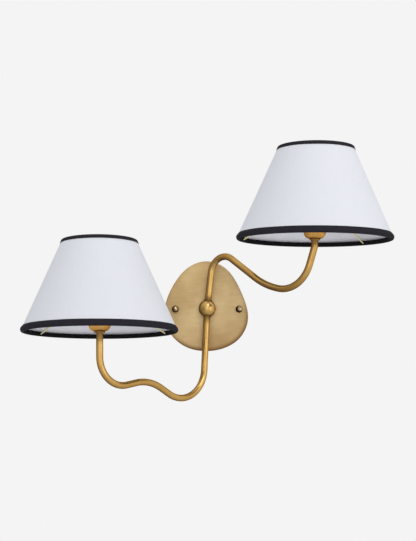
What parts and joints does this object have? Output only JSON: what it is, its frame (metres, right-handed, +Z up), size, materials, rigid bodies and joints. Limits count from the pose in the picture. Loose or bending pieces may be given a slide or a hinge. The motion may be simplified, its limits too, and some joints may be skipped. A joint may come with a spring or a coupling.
{
  "type": "double arm wall sconce",
  "caption": "Wall light with two curved tube arms, a turned ball at the middle, a rounded back plate, and two cone shades that can be turned on their lamp holders.",
  "frame": {"origin": "centre of the mounting bracket's screw slots on the wall plane, level with the ball", "axes": "+Z up, +X along the wall to the right as seen by a viewer, and the light stands out from the wall along -Y"},
  "size_m": [0.4776, 0.2496, 0.3267],
  "materials": {
    "aged_brass": "hand-rubbed aged brass, dark in the corners",
    "satin_brass": "satin brass with a soft cloudy patina",
    "zinc_steel": "zinc plated",
    "green_steel": "green earthing screw",
    "holder_plastic": "moulded, off-white",
    "contact_metal": "plain drawn brass",
    "bulb_glass": "frosted white glass",
    "shade_cloth": "fine plain-woven cloth on a stiff liner",
    "trim_cloth": "padded charcoal binding",
    "frame_wire": "brass-plated wire"
  },
  "bodies": {
    "wall_frame": {"arm_collars": "aged_brass", "back_plate": "satin_brass", "ball_post": "aged_brass", "cap_nuts": "satin_brass", "center_ball": "aged_brass", "center_nipple": "zinc_steel", "ground_screw": "green_steel", "left_center_contact": "contact_metal", "left_cup_seat": "aged_brass", "left_head_nipple": "zinc_steel", "left_lamp_holder": "holder_plastic", "left_lock_ring": "holder_plastic", "left_screw_shell": "contact_metal", "left_socket_cup": "aged_brass", "lower_arm": "aged_brass", "mounting_bracket": "zinc_steel", "mounting_studs": "zinc_steel", "nipple_nut": "zinc_steel", "nipple_washer": "zinc_steel", "right_center_contact": "contact_metal", "right_cup_seat": "aged_brass", "right_head_nipple": "zinc_steel", "right_lamp_holder": "holder_plastic", "right_lock_ring": "holder_plastic", "right_screw_shell": "contact_metal", "right_socket_cup": "aged_brass", "stud_jam_nuts": "zinc_steel", "upper_arm": "aged_brass"},
    "left_shade": {"left_shade_bottom_hoop": "frame_wire", "left_shade_bottom_trim": "trim_cloth", "left_shade_fitter": "frame_wire", "left_shade_shell": "shade_cloth", "left_shade_spider": "frame_wire", "left_shade_top_hoop": "frame_wire", "left_shade_top_trim": "trim_cloth"},
    "right_shade": {"right_shade_bottom_hoop": "frame_wire", "right_shade_bottom_trim": "trim_cloth", "right_shade_fitter": "frame_wire", "right_shade_shell": "shade_cloth", "right_shade_spider": "frame_wire", "right_shade_top_hoop": "frame_wire", "right_shade_top_trim": "trim_cloth"},
    "left_bulb": {"left_bulb_base": "contact_metal", "left_bulb_globe": "bulb_glass"},
    "right_bulb": {"right_bulb_base": "contact_metal", "right_bulb_globe": "bulb_glass"}
  },
  "joints": [
    {"name": "left_shade_turn", "type": "hinge", "parent": "wall_frame", "child": "left_shade", "pos_m": [-0.1376, -0.149, -0.04], "axis": [-0.0052, 0.0332, 0.9994], "continuous": true},
    {"name": "left_bulb_turn", "type": "hinge", "parent": "wall_frame", "child": "left_bulb", "pos_m": [-0.1376, -0.149, -0.04], "axis": [-0.0052, 0.0332, 0.9994], "continuous": true},
    {"name": "right_shade_turn", "type": "hinge", "parent": "wall_frame", "child": "right_shade", "pos_m": [0.1376, -0.149, 0.0783], "axis": [0.0087, -0.0384, 0.9992], "continuous": true},
    {"name": "right_bulb_turn", "type": "hinge", "parent": "wall_frame", "child": "right_bulb", "pos_m": [0.1376, -0.149, 0.0783], "axis": [0.0087, -0.0384, 0.9992], "continuous": true}
  ]
}
